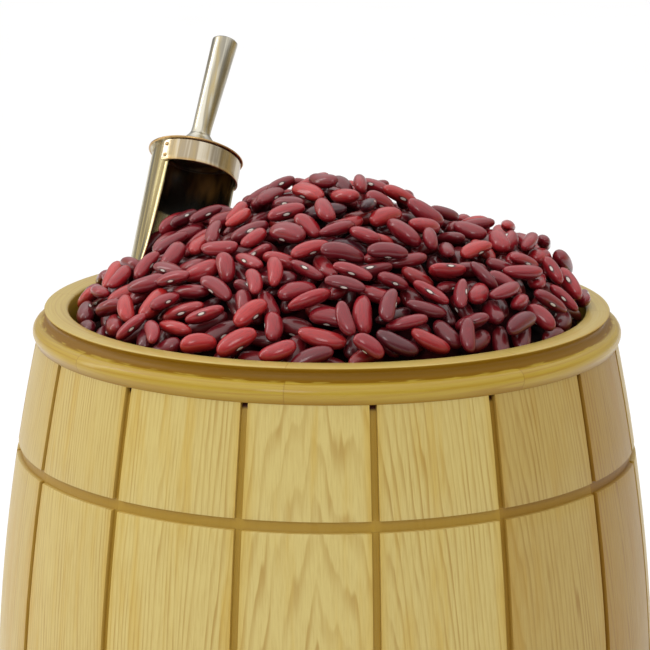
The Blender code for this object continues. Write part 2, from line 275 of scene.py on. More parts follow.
def mark(mesh, name, kind, domain, values):
    """Stores one value for each point or corner of a mesh, for its finish to read."""
    layer = mesh.attributes.new(name, kind, domain)
    if kind == "FLOAT_VECTOR":
        layer.data.foreach_set("vector", [part for value in values for part in value])
    else:
        layer.data.foreach_set("value", values)


def barrel_radius(height):
    """The outer radius of the bowed staves, widest half way up."""
    middle = BARREL_HEIGHT / 2
    share = (height - middle) / (middle - RIM_HEIGHT)
    return BELLY_RADIUS - (BELLY_RADIUS - SHOULDER_RADIUS) * share**2


def joint_angle(number):
    drift = JOINT_DRIFT[number % STAVE_COUNT]
    return number * STAVE_STEP + math.radians(FIRST_JOINT + drift)


def stave_outline():
    """A stave cut through lengthwise: its bowed face with the two routed bands, and its plainer back."""
    bands = (BAND_FROM_END, BARREL_HEIGHT - BAND_FROM_END)
    heights = [STAVE_TOP * i / FACE_STEPS for i in range(FACE_STEPS + 1)]
    heights = [z for z in heights if all(abs(z - band) > 2 * BAND_HALF_HEIGHT for band in bands)]
    heights.insert(-1, STAVE_TOP - PIT_HEIGHT)
    face = [(barrel_radius(z), z) for z in heights]
    for band in bands:
        low, high = band - BAND_HALF_HEIGHT, band + BAND_HALF_HEIGHT
        floor_low, floor_high = low + CHANNEL_WALL, high - CHANNEL_WALL
        face.append((barrel_radius(low), low))
        face.append((barrel_radius(floor_low) - CHANNEL_DEPTH, floor_low))
        face.append((barrel_radius(floor_high) - CHANNEL_DEPTH, floor_high))
        face.append((barrel_radius(high), high))
    face.sort(key=lambda point: point[1])
    return face + [(barrel_radius(z) - STAVE_THICKNESS, z) for z in (STAVE_TOP, *heights[-6::-4], 0)]


def angle_of(point, centre):
    """How far round from a centre line a point stands, between half a turn either way."""
    return (math.atan2(point.x, -point.y) - centre + math.pi) % (2 * math.pi) - math.pi


def glued(edge, first, last):
    """Whether an edge lies along a joint between two staves."""
    half = (last - first) / 2 - 0.1 * MM / BELLY_RADIUS
    return all(abs(angle_of(vert.co, (first + last) / 2)) > half for vert in edge.verts)


def in_channel(point, first, last):
    """Whether a point stands in the channel along either joint of a stave."""
    inset = (last - first) / 2 - CHANNEL_HALF_WIDTH / BELLY_RADIUS + 0.5 * (CHANNEL_WALL / BELLY_RADIUS)
    return abs(angle_of(point, (first + last) / 2)) > inset


def stave_mesh(first, last):
    """One stave: its outline turned from joint to joint, then let in along both channels."""
    start = first + JOINT_GAP / 2 / BELLY_RADIUS
    bm = bmesh.new()
    outline = [bm.verts.new(around(radius, start, z)) for radius, z in stave_outline()]
    end = bm.faces.new(outline)
    geom = [*outline, *end.edges, end]
    channel = (CHANNEL_HALF_WIDTH - JOINT_GAP / 2 - CHANNEL_WALL) / BELLY_RADIUS
    wall = CHANNEL_WALL / BELLY_RADIUS
    middle = last - first - JOINT_GAP / BELLY_RADIUS - 2 * (channel + wall)
    for angle, steps in ((channel, 1), (wall, 1), (middle, 10), (wall, 1), (channel, 1)):
        geom = spin_about_z(bm, geom, angle, steps)
    bmesh.ops.remove_doubles(bm, verts=bm.verts, dist=0.01 * MM)
    bmesh.ops.recalc_face_normals(bm, faces=bm.faces)
    centre = (first + last) / 2
    for vert in bm.verts:
        pit = PIT_DEPTH if vert.co.z > AT_TOP else 0
        limit = barrel_radius(vert.co.z) - CHANNEL_DEPTH - pit
        if in_channel(vert.co, first, last) and math.hypot(vert.co.x, vert.co.y) > limit:
            vert.co = around(limit, centre + angle_of(vert.co, centre), vert.co.z)
    sharp = [e for e in bm.edges if len(e.link_faces) == 2 and e.calc_face_angle() > 0.6]
    sharp = [e for e in sharp if max(v.co.z for v in e.verts) < AT_TOP]
    sharp = [e for e in sharp if not glued(e, first, last)]
    bmesh.ops.bevel(
        bm, geom=sharp, affect="EDGES", offset=STAVE_EDGE, segments=2, profile=0.5, material=-1,
        clamp_overlap=True,
    )
    return bm


def mark_stave(mesh, number, draw):
    """Stores where each point was in its tree, how deep it lies, and how near a channel it is."""
    tone, sideways = PLANKS[number]
    first, last = joint_angle(number), joint_angle(number + 1)
    width = (last - first) * BELLY_RADIUS
    pith_depth = draw.uniform(0.012, 0.05)
    length_start = draw.uniform(0, 3)
    plank, recess, pooled = [], [], []
    for vert in mesh.vertices:
        radius, height = math.hypot(vert.co.x, vert.co.y), vert.co.z
        off = angle_of(vert.co, (first + last) / 2)
        from_channel = ((last - first) / 2 - abs(off)) * BELLY_RADIUS - CHANNEL_HALF_WIDTH
        pooled.append(min(max(1 - from_channel / POOL_WIDTH, 0), 1))
        sunk = barrel_radius(height) - radius
        across = off * width / (last - first) + sideways + GRAIN_SLANT * height
        plank.append((across, sunk + pith_depth + PITH_SLANT * height, height + length_start))
        # Recess 2 marks the pits, for their painted deep shade. Channel floors get up to 1, for the groove
        # colour that is partly painted shade.
        in_pit = sunk > CHANNEL_DEPTH + 0.5 * MM and height > STAVE_TOP - 1 * MM
        in_pit = in_pit and in_channel(vert.co, first, last)
        recess.append(2.0 if in_pit else min(max((sunk - 0.5 * MM) / (1.2 * MM), 0), 1))
    mark(mesh, "plank", "FLOAT_VECTOR", "POINT", plank)
    mark(mesh, "recess", "FLOAT", "POINT", recess)
    mark(mesh, "pooled", "FLOAT", "POINT", pooled)
    mark(mesh, "plank_tone", "FLOAT", "POINT", [tone] * len(plank))


def make_stave(number, finish, draw):
    bm = stave_mesh(joint_angle(number), joint_angle(number + 1))
    name = f"{number + 1:02d}"
    piece = finished("stave_board_" + name, bm, finish, "stave_" + name, "stave_wood")
    mark_stave(piece.data, number, draw)


stave_pine = varnished_pine(
    "stave_pine",
    pale=colour(206, 187, 118),
    late=colour(166, 130, 58),
    honey=colour(196, 162, 70),
    groove=colour(172, 138, 52),
    deep=colour(182, 148, 66),
    gloss=0.1,
)
grain = random.Random(GRAIN_SEED)
for number in range(STAVE_COUNT):
    make_stave(number, stave_pine, grain)

# Bottom board
# A round of pine planks, glued edge to edge and cut to a circle. It is let into the foot of the staves
# and closes the barrel.

BOARD_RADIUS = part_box("bottom_board")[1][0]
BOARD_THICKNESS = 12 * MM
BOARD_PLANK = 62 * MM
BOARD_EDGE = 0.8 * MM


def make_bottom_board(finish):
    bm = bmesh.new()
    bmesh.ops.create_cone(
        bm, cap_ends=True, segments=96, radius1=BOARD_RADIUS, radius2=BOARD_RADIUS, depth=BOARD_THICKNESS
    )
    bmesh.ops.translate(bm, verts=bm.verts, vec=(0, 0, BOARD_THICKNESS / 2))
    rims = [e for e in bm.edges if len(e.link_faces) == 2 and e.calc_face_angle() > 1]
    bmesh.ops.bevel(bm, geom=rims, affect="EDGES", offset=BOARD_EDGE, segments=2, profile=0.5, material=-1)
    for line in (-1.5, -0.5, 0.5, 1.5):
        geom = [*bm.verts, *bm.edges, *bm.faces]
        bmesh.ops.bisect_plane(bm, geom=geom, plane_co=(line * BOARD_PLANK, 0, 0), plane_no=(1, 0, 0))
    piece = finished("bottom_planks", bm, finish, "bottom_board", "stave_wood")
    corners = []
    for face in piece.data.polygons:
        row = round(face.center.x / BOARD_PLANK)
        for index in face.vertices:
            point = piece.data.vertices[index].co
            shift = Vector((0.04 * (row % 2) - 0.02, 0.02, 0.7 * row))
            corners.append(Vector((point.x - row * BOARD_PLANK, point.z, point.y)) + shift)
    mark(piece.data, "plank", "FLOAT_VECTOR", "CORNER", corners)
    mark(piece.data, "plank_tone", "FLOAT", "POINT", [0.1] * len(piece.data.vertices))


make_bottom_board(stave_pine)

# Rim
# A ring glued up from straight pine segments and turned on a lathe, fixed over the staves' ends:
# a flat top, a cove under its edge, and a half-round bead, with a glossy varnish.

RIM_INNER_RADIUS = 109.9 * MM
RIM_FLAT_RADIUS = 120.2 * MM
COVE_RADIUS = 118.4 * MM
BEAD_RADIUS = 125 * MM
BEAD_TOP_DROP = 5.5 * MM
RIM_FOOT_RADIUS = 123.7 * MM
RIM_SEGMENT_COUNT = 8
RIM_SEGMENT = 2 * math.pi / RIM_SEGMENT_COUNT
RIM_FIRST_GLUE = math.radians(-52.5)
RIM_STEPS = 160


def rim_outline():
    """The rim cut through: up the inside, over the flat, into the cove and round the bead."""
    top, foot = BARREL_HEIGHT, BARREL_HEIGHT - RIM_HEIGHT
    outline = [(RIM_INNER_RADIUS, foot), (RIM_INNER_RADIUS, top - 1.4 * MM)]
    outline += [(RIM_INNER_RADIUS + 0.4 * MM, top - 0.4 * MM), (RIM_INNER_RADIUS + 1.4 * MM, top)]
    outline += [(0.5 * (RIM_INNER_RADIUS + RIM_FLAT_RADIUS), top)]
    outline += [(RIM_FLAT_RADIUS - 0.8 * MM, top), (RIM_FLAT_RADIUS - 0.3 * MM, top - 0.1 * MM)]
    outline += [(RIM_FLAT_RADIUS - 0.1 * MM, top - 0.45 * MM)]
    for turn in (0.25, 0.5, 0.75):
        dip = math.sin(turn * math.pi)
        drop = 0.5 * MM + (BEAD_TOP_DROP - 0.8 * MM) * turn
        outline.append((RIM_FLAT_RADIUS - (RIM_FLAT_RADIUS - COVE_RADIUS) * dip, top - drop))
    bead_reach = BEAD_RADIUS - RIM_FLAT_RADIUS + 0.1 * MM
    bead_top, bead_foot = top - BEAD_TOP_DROP, foot
    middle, half = (bead_top + bead_foot) / 2, (bead_top - bead_foot) / 2
    for degrees in (88, 72, 56, 40, 24, 8, -8, -24, -38):
        turn = math.radians(degrees)
        outline.append((RIM_FLAT_RADIUS + bead_reach * math.cos(turn) ** 0.8, middle + half * math.sin(turn)))
    outline += [(RIM_FOOT_RADIUS + 0.1 * MM, foot + 0.3 * MM), (RIM_FOOT_RADIUS, foot)]
    return outline


def turn_fully(bm, geom, steps, weld):
    """Turns an outline once round Z, and closes the seam and any poles."""
    bmesh.ops.spin(
        bm, geom=geom, cent=(0, 0, 0), axis=(0, 0, 1), angle=2 * math.pi, steps=steps, use_merge=True
    )
    bmesh.ops.remove_doubles(bm, verts=bm.verts, dist=weld)
    bmesh.ops.recalc_face_normals(bm, faces=bm.faces)


def rim_mesh():
    bm = bmesh.new()
    ring = [bm.verts.new(around(radius, RIM_FIRST_GLUE, z)) for radius, z in rim_outline()]
    edges = [bm.edges.new(pair) for pair in zip(ring, [*ring[1:], ring[0]])]
    turn_fully(bm, [*ring, *edges], RIM_STEPS, 0.005 * MM)
    return bm


def mark_segments(mesh):
    """Gives each glued segment its own grain, which runs along it."""
    grain_starts = [(0.9 * i % 2.3, 0.012 * (i % 3)) for i in range(RIM_SEGMENT_COUNT)]
    corners = []
    for face in mesh.polygons:
        angle = math.atan2(face.center.x, -face.center.y) - RIM_FIRST_GLUE
        row = int(angle // RIM_SEGMENT) % RIM_SEGMENT_COUNT
        facing = RIM_FIRST_GLUE + (row + 0.5) * RIM_SEGMENT
        start, depth = grain_starts[row]
        for index in face.vertices:
            point = mesh.vertices[index].co
            radius = math.hypot(point.x, point.y)
            along = angle_of(point, facing) * radius
            place = Vector((radius - RIM_INNER_RADIUS + 0.02 * along, BARREL_HEIGHT - point.z, along))
            corners.append(place + Vector((0.01 + depth, 0.014, start)))
    mark(mesh, "plank", "FLOAT_VECTOR", "CORNER", corners)


def mark_varnish(mesh):
    """Stores where the cove takes the groove colour, for thick varnish and painted shade, where the bead's
    foot takes painted shade, where painted highlight flecks run, and where the glue lines are.
    """
    cove, tones, worn, joints = [], [], [], []
    for vert in mesh.vertices:
        radius = math.hypot(vert.co.x, vert.co.y)
        drop = BARREL_HEIGHT - vert.co.z
        # The cove takes the darker groove colour, partly for varnish lying thick in it, partly as painted
        # shade. The bead's lower part takes it too, as painted shade darkening towards its foot.
        in_cove = 0.4 * MM < drop < BEAD_TOP_DROP + 0.3 * MM and radius < RIM_FLAT_RADIUS + 0.6 * MM
        under = 0.7 * max(0, (drop - 10 * MM) / (3.5 * MM)) if radius > RIM_FLAT_RADIUS else 0
        cove.append(1.0 if in_cove and radius > RIM_INNER_RADIUS + 2 * MM else under)
        tones.append(0.4 if drop < 0.5 * MM else 1.0)
        # Painted highlight flecks run along the bead's top and the flat's outer edge.
        at_bead = abs(drop - BEAD_TOP_DROP) < 0.35 * MM and radius > RIM_FLAT_RADIUS
        worn.append(1.0 if at_bead or (drop < 0.2 * MM and radius > RIM_FLAT_RADIUS - 0.5 * MM) else 0.0)
        off = (math.atan2(vert.co.x, -vert.co.y) - RIM_FIRST_GLUE) % RIM_SEGMENT
        joints.append(1.0 if min(off, RIM_SEGMENT - off) < 0.001 else 0.0)
    mark(mesh, "recess", "FLOAT", "POINT", cove)
    mark(mesh, "worn", "FLOAT", "POINT", worn)
    mark(mesh, "glue_line", "FLOAT", "POINT", joints)
    mark(mesh, "plank_tone", "FLOAT", "POINT", tones)


def make_rim(finish):
    piece = finished("turned_rim", rim_mesh(), finish, "rim", "rim_wood", smooth_angle=50)
    mark_segments(piece.data)
    mark_varnish(piece.data)


rim_pine = varnished_pine(
    "rim_pine",
    pale=colour(204, 183, 112),
    late=colour(180, 144, 62),
    honey=colour(190, 156, 66),
    groove=colour(152, 114, 4),
    deep=colour(222, 208, 118),
    gloss=0.4,
)
make_rim(rim_pine)

# Scoop
# A grocer's scoop of polished stainless sheet: a rolled trough with hemmed edges, closed at the back
# by a dished plate with a rolled edge. A riveted strap spans its mouth, and the handle is a tapered tube.

SCOOP_PLACE = Vector((-58.5 * MM, 52 * MM, BARREL_HEIGHT + 55.5 * MM))
SCOOP_LEAN_BACK = math.radians(30.6)
SCOOP_LEAN_RIGHT = math.radians(10.5)
SCOOP_STAND = (
    Matrix.Translation(SCOOP_PLACE)
    @ Matrix.Rotation(SCOOP_LEAN_RIGHT, 4, "Y")
    @ Matrix.Rotation(-SCOOP_LEAN_BACK, 4, "X")
)
TROUGH_RADIUS = 19.3 * MM
TROUGH_LENGTH = 76 * MM
SHEET = 0.8 * MM
MOUTH_FACES = math.radians(32.6)
MOUTH_HALF_ANGLE = math.radians(65)
MOUTH_WIDENS = math.radians(11)
LIP_SWEEP = math.radians(74)
LIP_POWER = 10
TROUGH_COLUMNS = 44
TROUGH_ROWS = 30
HEM_WIDTH = 2.0 * MM
HEM_RISE = 0.25 * MM
FLANGE_RADIUS = 21.3 * MM
FLANGE_ROLL = 0.55 * MM
DOME_HEIGHT = 9.3 * MM
DOME_TOP_RADIUS = 5 * MM
DOME_POWER = 2
PLATE_STEPS = 96
HANDLE_END = 57.8 * MM
HANDLE_BASE_RADIUS = 4.2 * MM
HANDLE_END_RADIUS = 5.9 * MM
HANDLE_LEAN = math.radians(3.6)
HANDLE_STEPS = 64
STRAP_RADIUS = 19.6 * MM
STRAP_SHEET = 0.8 * MM
STRAP_TOP = 1.0 * MM
STRAP_HEIGHT = 10 * MM
STRAP_LAP = math.radians(14)
STRAP_COLUMNS = 60
STRAP_ROWS = 12
RIVET_RADIUS = 0.95 * MM
RIVET_FLATNESS = 0.55
RIVETS_DOWN_STRAP = (0.25, 0.76)


def polished_steel():
    """Stainless sheet polished by hand: bright, with faint rolling lines and smears. Its golden tints and
    near-black inside are painted reflection, and its darker grey bands partly so.
    """
    bright, reflected_warm = colour(202, 197, 182), colour(204, 192, 148)
    streak_and_reflection_grey, reflected_gold, reflected_gold_edge = colour(134, 128, 114), colour(178, 158, 108), colour(176, 134, 58)
    # Near black and brown for the trough's inside: painted reflection.
    reflected_dark, reflected_brown = colour(6, 4, 3), colour(142, 100, 42)
    finish, tones, shader = new_finish("polished_steel")
    place = tones.node("TexCoord", output="Object")
    place = place.node("VectorMath", {"operation": "SUBTRACT"}, {0: place, 1: SCOOP_PLACE})
    dot = {"operation": "DOT_PRODUCT"}
    ways = [SCOOP_STAND.col[i].to_3d() for i in range(3)]
    x, y, along = [tones.node("VectorMath", dot, {0: place, 1: way}, "Value") for way in ways]
    place = tones.node("CombineXYZ", {}, {0: x, 1: y, 2: along})
    from_axis = (x * x + y * y) ** 0.5
    lines = place.stretched(1, 1, 0.03).noise(2600, 2)
    smear = place.stretched(1, 1, 0.12).noise(240, 3, 0.6)
    dent = place.stretched(1, 1, 0.35).noise(110, 1)
    # Painted reflection: the trough's sheet takes a golden tint for the wood reflected in it, and the back
    # plate, handle and strap's face the bright one.
    silver = along.between(-4 * MM, 1 * MM)
    silver = silver + from_axis.between(STRAP_RADIUS + 0.1 * MM, STRAP_RADIUS + 0.4 * MM)
    clean = silver.between(0, 1).blend(reflected_warm, bright)
    streaks = place.stretched(1, 1, 0.035).noise(330, 2, 0.6)
    on_plate = from_axis.between(5.5 * MM, 7 * MM) * along.between(-1.2 * MM, -0.8 * MM)
    on_plate = on_plate * (1 - along.between(9.6 * MM, 11 * MM))
    on_end = along.between(HANDLE_END - 0.9 * MM, HANDLE_END - 0.5 * MM)
    along_sheet = 1 - (on_plate + on_end)
    # Darker grey bands along the scoop: partly polishing marks, partly painted reflection of the room.
    tint = (streaks.between(0.42, 0.6) * along_sheet * 0.85).blend(clean, streak_and_reflection_grey)
    # Painted reflection: the smears' gold colour and the gold on the back plate's rolled edge stand for the
    # wood reflected in the steel. The smears' roughness is the polish's own.
    tint = smear.between(0.45, 0.8).blend(tint, reflected_gold)
    edge = from_axis.between(FLANGE_RADIUS - 1.1 * MM, FLANGE_RADIUS - 0.5 * MM)
    tint = (edge * 0.8).blend(tint, reflected_gold_edge)
    # Painted reflection: the upper inside of the trough, near the back plate, is coloured near black with
    # brownish patches for the dark room and the back plate's underside seen in it, and is made less metallic
    # there.
    inside = 1 - from_axis.between(TROUGH_RADIUS - SHEET, TROUGH_RADIUS - 0.3 * SHEET)
    inside = inside * (1 - along.between(-1.2 * MM, -0.4 * MM))
    painted_dark_inside = inside * along.between(-24.4 * MM, -23.4 * MM)
    reflection_patch = place.stretched(1, 1, 0.35).noise(60, 3, 0.6).between(0.4, 0.6)
    dark_reflection = (reflection_patch * along.between(-19 * MM, -8 * MM)).blend(reflected_dark, reflected_brown)
    tint = (painted_dark_inside * 0.97).blend(tint, dark_reflection)
    rough = 0.15 + smear * 0.12 + lines * along_sheet * 0.06
    height = dent * (0.3 + along_sheet * 0.7) + lines * along_sheet * 0.015
    bump = tones.node("Bump", {}, {"Strength": 0.6, "Distance": 0.55 * MM, "Height": height})
    links = {"Base Color": tint, "Roughness": rough, "Normal": bump, "Metallic": 1 - painted_dark_inside * 0.8}
    set_surface(tones, shader, links)
    return finish


def grid_sheet(columns, rows, shape):
    """A flat grid bent to shape(across, down), both from 0 to 1, with its faces away from the axis."""
    bm = bmesh.new()
    bmesh.ops.create_grid(bm, x_segments=columns, y_segments=rows, size=0.5)
    for vert in bm.verts:
        vert.co = shape(vert.co.x + 0.5, vert.co.y + 0.5)
    bmesh.ops.recalc_face_normals(bm, faces=bm.faces)
    middle = bm.faces[:][len(bm.faces) // 2]
    from_axis = middle.calc_center_median()
    from_axis.z = 0
    if middle.normal.dot(from_axis) < 0:
        bmesh.ops.reverse_faces(bm, faces=bm.faces)
    return bm


def hem_share(across, width):
    """Crowds the grid's first and last columns into a hem along each edge."""
    side = min(across, 1 - across)
    column = 1 / TROUGH_COLUMNS
    reach = HEM_WIDTH / width
    if side < 1.5 * column:
        moved = side / column * reach
    elif side < 2.5 * column:
        moved = reach * 1.18
    else:
        moved = reach * 1.18 + (side - 2 * column) / (0.5 - 2 * column) * (0.5 - reach * 1.18)
    return moved if across < 0.5 else 1 - moved


def trough_point(across, down):
    """The trough's outside: its mouth widens on the way down, and its end is swept to a round lip."""
    share = 1 - (1 - down) ** 1.35
    cut = MOUTH_HALF_ANGLE + MOUTH_WIDENS * share + LIP_SWEEP * share**LIP_POWER
    turn = 2 * math.pi - 2 * cut
    across = hem_share(across, turn * TROUGH_RADIUS)
    side = min(across, 1 - across) * turn * TROUGH_RADIUS
    rise = HEM_RISE if side < HEM_WIDTH * 1.05 else 0
    height = -SHEET / 2 - (TROUGH_LENGTH - SHEET / 2) * share
    return around(TROUGH_RADIUS + rise, MOUTH_FACES + cut + turn * across, height)


def thickened(piece, thickness, edge):
    """Gives a sheet its thickness inwards and takes the sharpness off its edges."""
    wall = piece.modifiers.new("wall", "SOLIDIFY")
    wall.thickness = thickness
    wall.offset = -1
    rounding = piece.modifiers.new("rounding", "BEVEL")
    rounding.width = edge
    rounding.segments = 2
    rounding.limit_method = "ANGLE"
    rounding.angle_limit = math.radians(50)


def make_scoop_bowl(finish):
    bm = grid_sheet(TROUGH_COLUMNS, TROUGH_ROWS, trough_point)
    bmesh.ops.transform(bm, matrix=SCOOP_STAND, verts=bm.verts)
    piece = finished("scoop_trough", bm, finish, "scoop_bowl", "scoop_steel")
    thickened(piece, SHEET, 0.25 * MM)


def back_plate_outline():
    """The back plate cut through: over the dish, round the rolled edge and back under."""
    run = TROUGH_RADIUS - DOME_TOP_RADIUS
    shares = [i / 9 for i in range(10)]
    dish = [(DOME_TOP_RADIUS + run * s, DOME_HEIGHT * (1 - s) ** DOME_POWER) for s in shares]
    roll_middle = FLANGE_RADIUS - FLANGE_ROLL
    roll = []
    for degrees in range(120, -150, -30):
        turn = math.radians(degrees)
        roll.append((roll_middle + FLANGE_ROLL * math.cos(turn), -0.4 * MM + FLANGE_ROLL * math.sin(turn)))
    under = [(radius - 0.2 * MM, z - SHEET) for radius, z in dish[::-1]]
    return [(0, DOME_HEIGHT), *dish, *roll, *under, (0, DOME_HEIGHT - SHEET)]


def turned(outline, steps):
    """A closed body turned about Z from an outline that starts and ends on the axis."""
    bm = bmesh.new()
    verts = [bm.verts.new((radius, 0, z)) for radius, z in outline]
    edges = [bm.edges.new(pair) for pair in zip(verts, verts[1:])]
    turn_fully(bm, [*verts, *edges], steps, 0.002 * MM)
    return bm


def make_back_plate(finish):
    bm = turned(back_plate_outline(), PLATE_STEPS)
    bmesh.ops.transform(bm, matrix=SCOOP_STAND, verts=bm.verts)
    finished("scoop_back", bm, finish, "scoop_bowl", "scoop_steel")


def strap_point(across, down):
    """The strap's outside: its corners are cut round, and its lower edge flares a little."""
    half = MOUTH_HALF_ANGLE + STRAP_LAP
    end = min(across, 1 - across) * 2 * half * STRAP_RADIUS
    corner = max(0, 1 - end / (1.6 * MM)) ** 2
    fall = STRAP_HEIGHT * (0.5 + (down - 0.5) * (1 - 0.3 * corner))
    flare = 0.25 * MM * max(0, down - 0.86) / 0.14
    radius = STRAP_RADIUS + STRAP_SHEET + flare
    return around(radius, MOUTH_FACES + half * (2 * across - 1), -STRAP_TOP - fall)


def make_strap(finish):
    bm = grid_sheet(STRAP_COLUMNS, STRAP_ROWS, strap_point)
    bmesh.ops.transform(bm, matrix=SCOOP_STAND, verts=bm.verts)
    piece = finished("strap_band", bm, finish, "scoop_strap", "scoop_steel")
    thickened(piece, STRAP_SHEET, 0.2 * MM)


def make_rivets(finish):
    bm = bmesh.new()
    flat = Matrix.Diagonal((1, 1, RIVET_FLATNESS, 1))
    for side in (-1, 1):
        angle = MOUTH_FACES + side * (MOUTH_HALF_ANGLE + 0.5 * STRAP_LAP)
        outwards = around(1, angle, 0).to_track_quat("Z", "Y").to_matrix().to_4x4()
        for share in RIVETS_DOWN_STRAP:
            ball = bmesh.ops.create_uvsphere(bm, u_segments=20, v_segments=12, radius=RIVET_RADIUS)
            middle = around(STRAP_RADIUS + STRAP_SHEET, angle, -STRAP_TOP - STRAP_HEIGHT * share)
            seat = Matrix.Translation(middle) @ outwards @ flat
            bmesh.ops.transform(bm, matrix=seat, verts=ball["verts"])
    bmesh.ops.transform(bm, matrix=SCOOP_STAND, verts=bm.verts)
    finished("strap_rivets", bm, finish, slot="scoop_steel")


def make_handle(finish):
    foot = DOME_HEIGHT
    run = HANDLE_END - foot
    outline = [(0, foot), (DOME_TOP_RADIUS - 0.1 * MM, foot), (DOME_TOP_RADIUS - 0.3 * MM, foot + 0.4 * MM)]
    outline.append((HANDLE_BASE_RADIUS + 0.2 * MM, foot + 1.4 * MM))
    for share in (0.08, 0.25, 0.45, 0.65, 0.85, 0.97):
        radius = HANDLE_BASE_RADIUS + (HANDLE_END_RADIUS - HANDLE_BASE_RADIUS) * share
        outline.append((radius, foot + run * share))
    end = HANDLE_END - 0.35 * MM
    outline += [(HANDLE_END_RADIUS - 0.15 * MM, end - 0.5 * MM), (HANDLE_END_RADIUS - 0.7 * MM, end)]
    outline += [(HANDLE_END_RADIUS * 0.5, HANDLE_END - 0.1 * MM), (0, HANDLE_END)]
    bm = turned(outline, HANDLE_STEPS)
    base = Matrix.Translation((0, 0, foot))
    lean = base @ Matrix.Rotation(HANDLE_LEAN, 4, "Y") @ base.inverted()
    bmesh.ops.transform(bm, matrix=SCOOP_STAND @ lean, verts=bm.verts)
    finished("handle_tube", bm, finish, "scoop_handle", "scoop_steel")


steel = polished_steel()
make_scoop_bowl(steel)
make_back_plate(steel)
make_strap(steel)
make_rivets(steel)
make_handle(steel)

# Beans
# Dried red kidney beans, poured in until they stand heaped over the rim, with the scoop pushed in among
# them. Those on the outside lie loose, mostly on their flat sides, each with a small white scar.

CROWN_HEIGHT = 57 * MM
WALL_LEVEL = 1.5 * MM
CROWN_ROUNDING = 1.15
DROP_POWER = 0.78
DROP_LEAN = 0.17
# The bed stands for the beans that never show. Its top follows the heap's outside, this far below it.
BED_DEPTH_MIDDLE = 14 * MM
BED_DEPTH = 17.5 * MM
BED_SHOULDER = 62 * MM
BED_SINK = 1 * MM
BED_GAP = 0.3 * MM
BED_RINGS = 14
BED_STEPS = 64
BEAN_LENGTH = 18.4 * MM
BEAN_WIDTH = 9.5 * MM
BEAN_THICKNESS = 7.3 * MM
BEAN_BLUNTNESS = 2.7
BEAN_TAPER = 0.06
BEAN_SIZES = (0.86, 1.06)
# Each kind's length, width, thickness and bend, as shares of the common bean's.
BEAN_KINDS = (
    ("long", 1.06, 0.97, 0.96, 1.0),
    ("plump", 0.97, 1.08, 1.1, 0.8),
    ("slim", 1.0, 0.9, 0.9, 1.25),
    ("short", 0.86, 1.0, 1.02, 0.85),
)
# Where beans are banked up: to the right, to the back, how far round and how high.
MOUNDS = (
    (-66 * MM, 19 * MM, 19 * MM, 5.5 * MM),
    (92 * MM, 4 * MM, 19 * MM, 6 * MM),
    (62 * MM, -62 * MM, 16 * MM, 1 * MM),
    (15 * MM, 6 * MM, 18 * MM, -2 * MM),
)
# Where fewer are laid, all along the heap: how far to the right, how far round and how deep.
HOLLOWS = (
    (52 * MM, 22 * MM, 4 * MM),
    (-38 * MM, 14 * MM, 1 * MM),
)
# The heap's outside is followed on a square grid. These three count its cells.
MAP_HALF = 125
WINDOW = 12
HALF_BEAN = 4
CELL = 1 * MM
# How far a bean may stand over the heap's outside or the rim, and the lack at which the heap is full.
STAND_PROUD = 4.5 * MM
RIM_OVERLAP = 3.5 * MM
FILLED = 1.3 * MM
# Each bean is tried in several ways, turned from the slope's own way and rolled by about this much.
WAYS_TRIED = 24
TURN_SPREAD = 0.7
ROLL_SPREAD = 0.4
STEEPEST = 1.1
ROOM_AROUND = 1.04
GAP_COUNTS = 0.7
HEAP_SEED = 23


def heap_level(x, y):
    """The height of the heap's outside, a rounded cone that stands fuller on the right."""
    radius = np.hypot(x, y)
    share = np.minimum(radius / RIM_INNER_RADIUS, 1)
    power = DROP_POWER - DROP_LEAN * x / np.maximum(radius, MM)
    drop = (1 - share**CROWN_ROUNDING) ** power
    return BARREL_HEIGHT + WALL_LEVEL + (CROWN_HEIGHT - WALL_LEVEL) * drop


